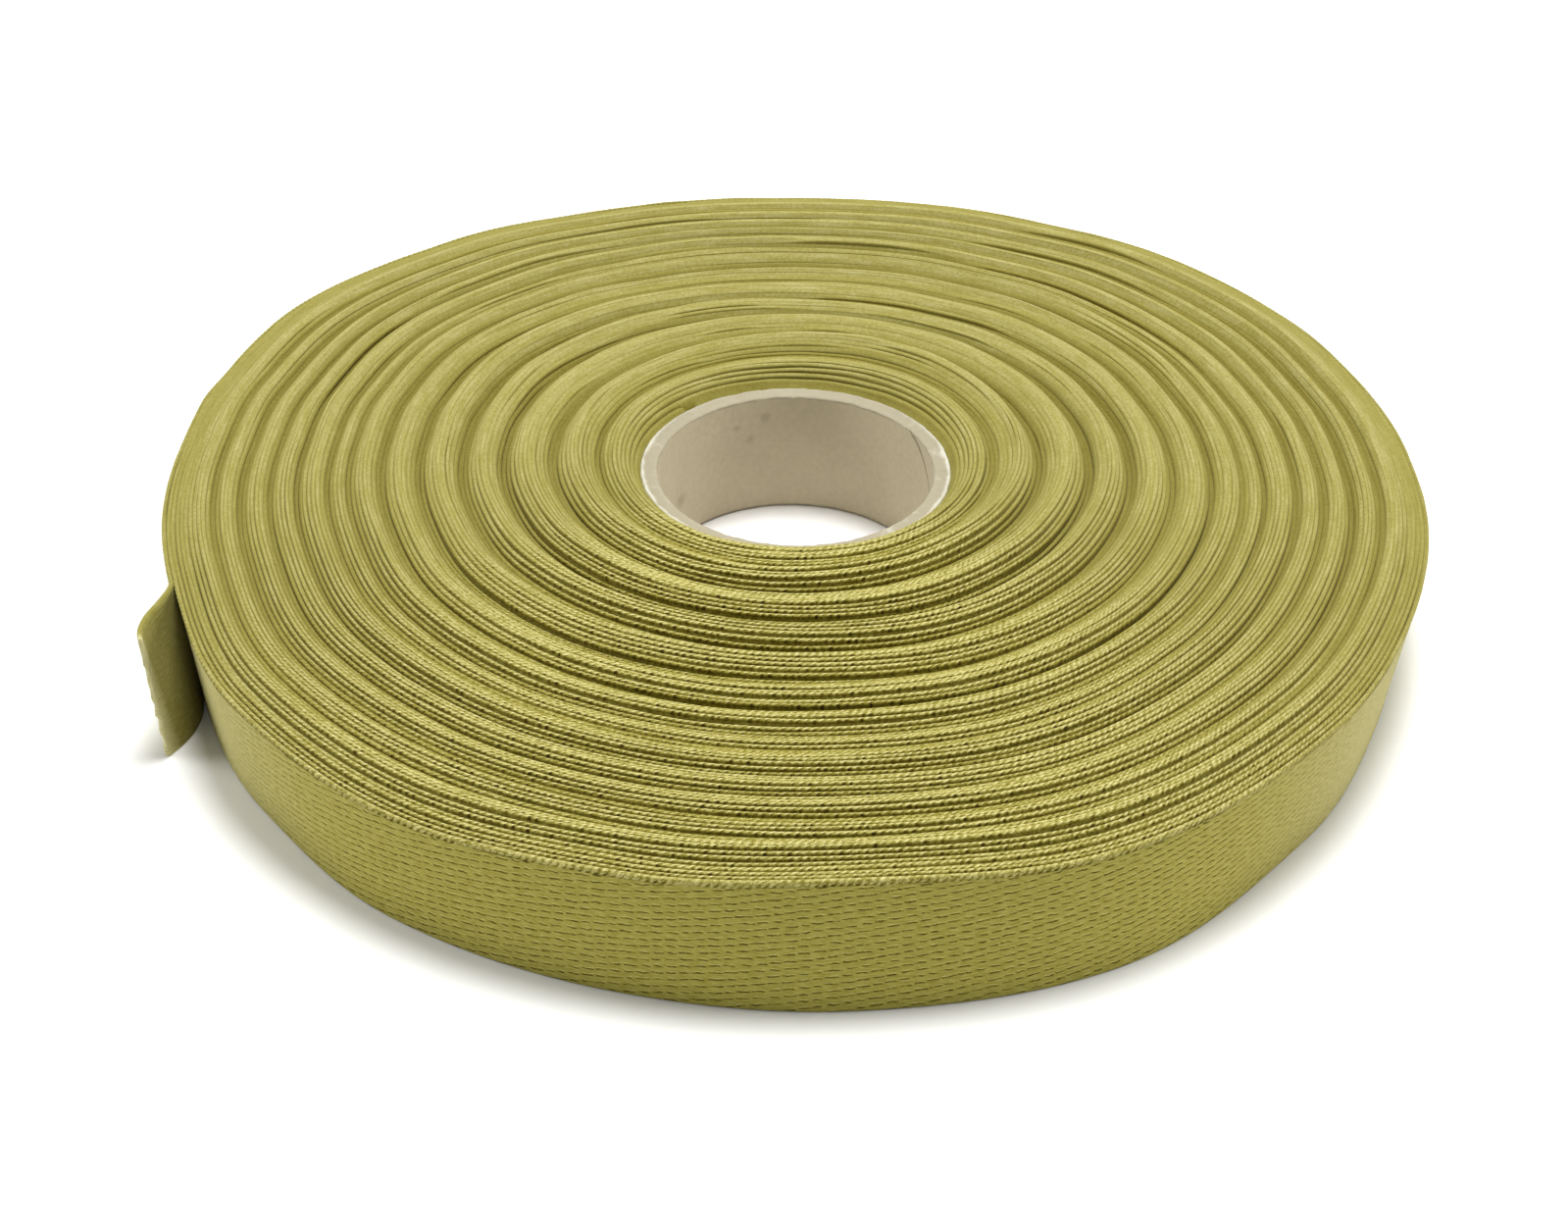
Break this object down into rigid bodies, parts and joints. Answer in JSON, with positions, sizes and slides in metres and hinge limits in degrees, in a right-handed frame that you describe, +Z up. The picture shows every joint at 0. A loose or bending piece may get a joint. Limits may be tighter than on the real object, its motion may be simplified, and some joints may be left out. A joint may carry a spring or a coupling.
{
  "type": "roll of woven cotton tape",
  "caption": "Flat roll of narrow woven olive cotton trimming tape wound on a cardboard tube, with ridged side faces and a loose cut end that curls away from the rim.",
  "frame": {"origin": "middle of the roll's outline, on the surface that it lies on", "axes": "+Z up along the tube, -Y towards the side that the loose end points to, +X to the right of it"},
  "size_m": [0.231, 0.23, 0.0314],
  "materials": {
    "cotton_tape": "matt olive cotton, close woven, with corded selvedges",
    "core_board": "plain grey-brown wound board, slightly fuzzy at its edges"
  },
  "bodies": {
    "root": {"wound_tape": "cotton_tape", "loose_end": "cotton_tape", "core_tube": "core_board"}
  },
  "joints": []
}
